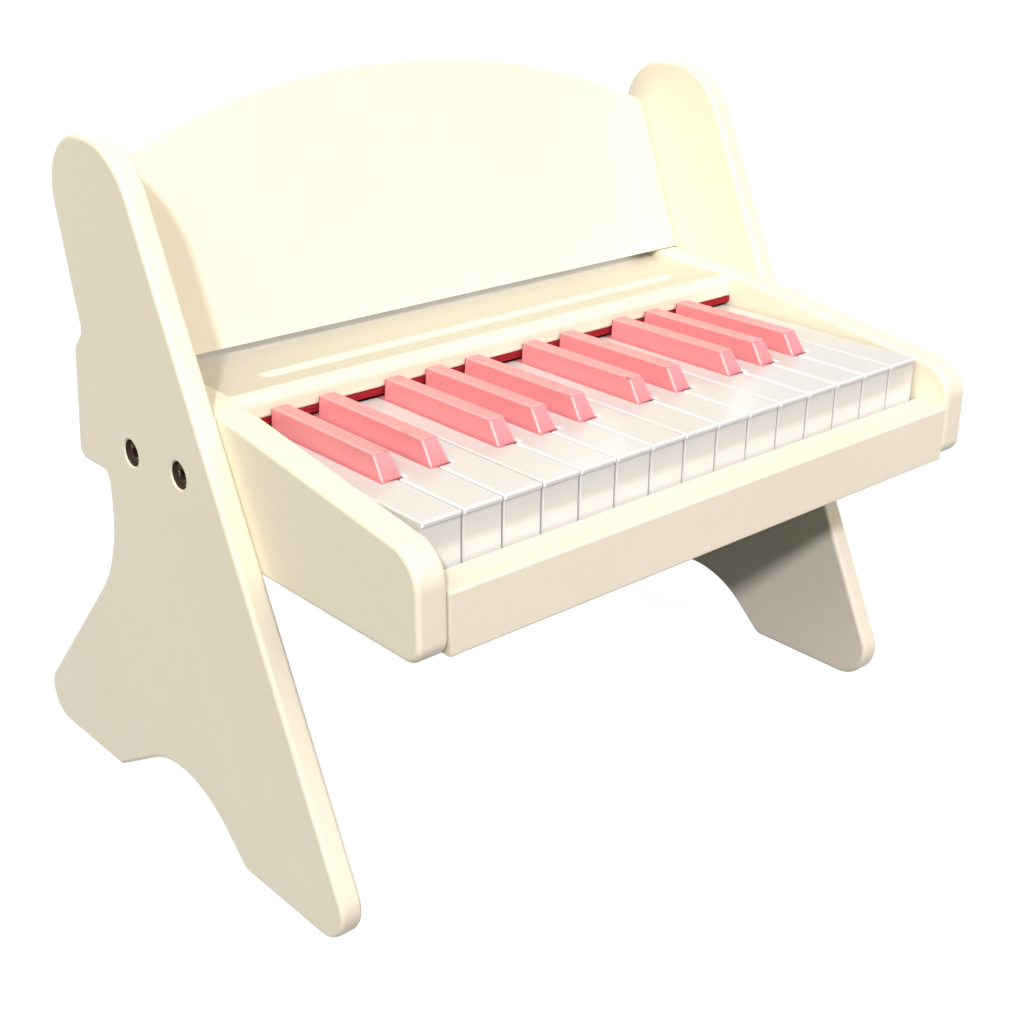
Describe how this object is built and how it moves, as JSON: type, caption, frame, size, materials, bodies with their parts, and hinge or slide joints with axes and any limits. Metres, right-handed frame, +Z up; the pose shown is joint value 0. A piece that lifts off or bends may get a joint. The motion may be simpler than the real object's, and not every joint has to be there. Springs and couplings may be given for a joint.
{
  "type": "toy piano",
  "caption": "Small upright toy piano with shaped side legs, an arched music panel that leans back, and hinged white and pink keys.",
  "frame": {"origin": "on the floor, below the middle of the overall box", "axes": "+X along the keyboard to the treble end, +Y from the player to the back, +Z up"},
  "size_m": [0.39, 0.333, 0.3549],
  "materials": {
    "cream_paint": "satin cream paint over board",
    "bare_wood": "bare sawn wood",
    "grey_felt": "pressed felt",
    "red_felt": "pressed red felt",
    "steel": "bright drawn steel",
    "black_bolt": "black oxide",
    "tone_metal": "satin metal",
    "white_plastic": "glossy moulded white",
    "pink_plastic": "glossy moulded pink"
  },
  "bodies": {
    "frame": {"left_leg": "cream_paint", "right_leg": "cream_paint", "left_cheek": "cream_paint", "right_cheek": "cream_paint", "front_rail": "cream_paint", "base_board": "cream_paint", "back_board": "cream_paint", "key_shelf": "cream_paint", "music_panel": "cream_paint", "pivot_rail": "bare_wood", "stop_rail": "bare_wood", "rest_rail": "bare_wood", "front_bar_rail": "bare_wood", "rear_bar_rail": "bare_wood", "bar_clamp": "bare_wood", "stop_felt": "grey_felt", "rest_felt": "grey_felt", "front_bar_felt": "grey_felt", "rear_bar_felt": "grey_felt", "pivot_rod": "steel", "pivot_brackets": "steel", "leg_nuts": "steel", "felt_strip": "red_felt", "leg_bolts": "black_bolt", "tone_bars": "tone_metal"},
    "key_01_c": {"key_01_c": "white_plastic"},
    "key_02_c_sharp": {"key_02_c_sharp": "pink_plastic"},
    "key_03_d": {"key_03_d": "white_plastic"},
    "key_04_d_sharp": {"key_04_d_sharp": "pink_plastic"},
    "key_05_e": {"key_05_e": "white_plastic"},
    "key_06_f": {"key_06_f": "white_plastic"},
    "key_07_f_sharp": {"key_07_f_sharp": "pink_plastic"},
    "key_08_g": {"key_08_g": "white_plastic"},
    "key_09_g_sharp": {"key_09_g_sharp": "pink_plastic"},
    "key_10_a": {"key_10_a": "white_plastic"},
    "key_11_a_sharp": {"key_11_a_sharp": "pink_plastic"},
    "key_12_b": {"key_12_b": "white_plastic"},
    "key_13_c": {"key_13_c": "white_plastic"},
    "key_14_c_sharp": {"key_14_c_sharp": "pink_plastic"},
    "key_15_d": {"key_15_d": "white_plastic"},
    "key_16_d_sharp": {"key_16_d_sharp": "pink_plastic"},
    "key_17_e": {"key_17_e": "white_plastic"},
    "key_18_f": {"key_18_f": "white_plastic"},
    "key_19_f_sharp": {"key_19_f_sharp": "pink_plastic"},
    "key_20_g": {"key_20_g": "white_plastic"},
    "key_21_g_sharp": {"key_21_g_sharp": "pink_plastic"},
    "key_22_a": {"key_22_a": "white_plastic"},
    "key_23_a_sharp": {"key_23_a_sharp": "pink_plastic"},
    "key_24_b": {"key_24_b": "white_plastic"},
    "key_25_c": {"key_25_c": "white_plastic"}
  },
  "joints": [
    {"name": "key_01_c_press", "type": "hinge", "parent": "frame", "child": "key_01_c", "pos_m": [-0.1584, -0.0055, 0.1957], "axis": [1, 0, 0], "range_deg": [0, 3.28], "stiffness_Nm_per_rad": 0.3, "springref_deg": -14.32},
    {"name": "key_02_c_sharp_press", "type": "hinge", "parent": "frame", "child": "key_02_c_sharp", "pos_m": [-0.1452, -0.0055, 0.1957], "axis": [1, 0, 0], "range_deg": [0, 3.28], "stiffness_Nm_per_rad": 0.3, "springref_deg": -14.32},
    {"name": "key_03_d_press", "type": "hinge", "parent": "frame", "child": "key_03_d", "pos_m": [-0.132, -0.0055, 0.1957], "axis": [1, 0, 0], "range_deg": [0, 3.28], "stiffness_Nm_per_rad": 0.3, "springref_deg": -14.32},
    {"name": "key_04_d_sharp_press", "type": "hinge", "parent": "frame", "child": "key_04_d_sharp", "pos_m": [-0.1188, -0.0055, 0.1957], "axis": [1, 0, 0], "range_deg": [0, 3.28], "stiffness_Nm_per_rad": 0.3, "springref_deg": -14.32},
    {"name": "key_05_e_press", "type": "hinge", "parent": "frame", "child": "key_05_e", "pos_m": [-0.1056, -0.0055, 0.1957], "axis": [1, 0, 0], "range_deg": [0, 3.28], "stiffness_Nm_per_rad": 0.3, "springref_deg": -14.32},
    {"name": "key_06_f_press", "type": "hinge", "parent": "frame", "child": "key_06_f", "pos_m": [-0.09271, -0.0055, 0.1957], "axis": [1, 0, 0], "range_deg": [0, 3.28], "stiffness_Nm_per_rad": 0.3, "springref_deg": -14.32},
    {"name": "key_07_f_sharp_press", "type": "hinge", "parent": "frame", "child": "key_07_f_sharp", "pos_m": [-0.08014, -0.0055, 0.1957], "axis": [1, 0, 0], "range_deg": [0, 3.28], "stiffness_Nm_per_rad": 0.3, "springref_deg": -14.32},
    {"name": "key_08_g_press", "type": "hinge", "parent": "frame", "child": "key_08_g", "pos_m": [-0.06757, -0.0055, 0.1957], "axis": [1, 0, 0], "range_deg": [0, 3.28], "stiffness_Nm_per_rad": 0.3, "springref_deg": -14.32},
    {"name": "key_09_g_sharp_press", "type": "hinge", "parent": "frame", "child": "key_09_g_sharp", "pos_m": [-0.055, -0.0055, 0.1957], "axis": [1, 0, 0], "range_deg": [0, 3.28], "stiffness_Nm_per_rad": 0.3, "springref_deg": -14.32},
    {"name": "key_10_a_press", "type": "hinge", "parent": "frame", "child": "key_10_a", "pos_m": [-0.04243, -0.0055, 0.1957], "axis": [1, 0, 0], "range_deg": [0, 3.28], "stiffness_Nm_per_rad": 0.3, "springref_deg": -14.32},
    {"name": "key_11_a_sharp_press", "type": "hinge", "parent": "frame", "child": "key_11_a_sharp", "pos_m": [-0.02986, -0.0055, 0.1957], "axis": [1, 0, 0], "range_deg": [0, 3.28], "stiffness_Nm_per_rad": 0.3, "springref_deg": -14.32},
    {"name": "key_12_b_press", "type": "hinge", "parent": "frame", "child": "key_12_b", "pos_m": [-0.01729, -0.0055, 0.1957], "axis": [1, 0, 0], "range_deg": [0, 3.28], "stiffness_Nm_per_rad": 0.3, "springref_deg": -14.32},
    {"name": "key_13_c_press", "type": "hinge", "parent": "frame", "child": "key_13_c", "pos_m": [-0.0044, -0.0055, 0.1957], "axis": [1, 0, 0], "range_deg": [0, 3.28], "stiffness_Nm_per_rad": 0.3, "springref_deg": -14.32},
    {"name": "key_14_c_sharp_press", "type": "hinge", "parent": "frame", "child": "key_14_c_sharp", "pos_m": [0.0088, -0.0055, 0.1957], "axis": [1, 0, 0], "range_deg": [0, 3.28], "stiffness_Nm_per_rad": 0.3, "springref_deg": -14.32},
    {"name": "key_15_d_press", "type": "hinge", "parent": "frame", "child": "key_15_d", "pos_m": [0.022, -0.0055, 0.1957], "axis": [1, 0, 0], "range_deg": [0, 3.28], "stiffness_Nm_per_rad": 0.3, "springref_deg": -14.32},
    {"name": "key_16_d_sharp_press", "type": "hinge", "parent": "frame", "child": "key_16_d_sharp", "pos_m": [0.0352, -0.0055, 0.1957], "axis": [1, 0, 0], "range_deg": [0, 3.28], "stiffness_Nm_per_rad": 0.3, "springref_deg": -14.32},
    {"name": "key_17_e_press", "type": "hinge", "parent": "frame", "child": "key_17_e", "pos_m": [0.0484, -0.0055, 0.1957], "axis": [1, 0, 0], "range_deg": [0, 3.28], "stiffness_Nm_per_rad": 0.3, "springref_deg": -14.32},
    {"name": "key_18_f_press", "type": "hinge", "parent": "frame", "child": "key_18_f", "pos_m": [0.06129, -0.0055, 0.1957], "axis": [1, 0, 0], "range_deg": [0, 3.28], "stiffness_Nm_per_rad": 0.3, "springref_deg": -14.32},
    {"name": "key_19_f_sharp_press", "type": "hinge", "parent": "frame", "child": "key_19_f_sharp", "pos_m": [0.07386, -0.0055, 0.1957], "axis": [1, 0, 0], "range_deg": [0, 3.28], "stiffness_Nm_per_rad": 0.3, "springref_deg": -14.32},
    {"name": "key_20_g_press", "type": "hinge", "parent": "frame", "child": "key_20_g", "pos_m": [0.08643, -0.0055, 0.1957], "axis": [1, 0, 0], "range_deg": [0, 3.28], "stiffness_Nm_per_rad": 0.3, "springref_deg": -14.32},
    {"name": "key_21_g_sharp_press", "type": "hinge", "parent": "frame", "child": "key_21_g_sharp", "pos_m": [0.099, -0.0055, 0.1957], "axis": [1, 0, 0], "range_deg": [0, 3.28], "stiffness_Nm_per_rad": 0.3, "springref_deg": -14.32},
    {"name": "key_22_a_press", "type": "hinge", "parent": "frame", "child": "key_22_a", "pos_m": [0.11157, -0.0055, 0.1957], "axis": [1, 0, 0], "range_deg": [0, 3.28], "stiffness_Nm_per_rad": 0.3, "springref_deg": -14.32},
    {"name": "key_23_a_sharp_press", "type": "hinge", "parent": "frame", "child": "key_23_a_sharp", "pos_m": [0.12414, -0.0055, 0.1957], "axis": [1, 0, 0], "range_deg": [0, 3.28], "stiffness_Nm_per_rad": 0.3, "springref_deg": -14.32},
    {"name": "key_24_b_press", "type": "hinge", "parent": "frame", "child": "key_24_b", "pos_m": [0.13671, -0.0055, 0.1957], "axis": [1, 0, 0], "range_deg": [0, 3.28], "stiffness_Nm_per_rad": 0.3, "springref_deg": -14.32},
    {"name": "key_25_c_press", "type": "hinge", "parent": "frame", "child": "key_25_c", "pos_m": [0.154, -0.0055, 0.1957], "axis": [1, 0, 0], "range_deg": [0, 3.28], "stiffness_Nm_per_rad": 0.3, "springref_deg": -14.32}
  ]
}
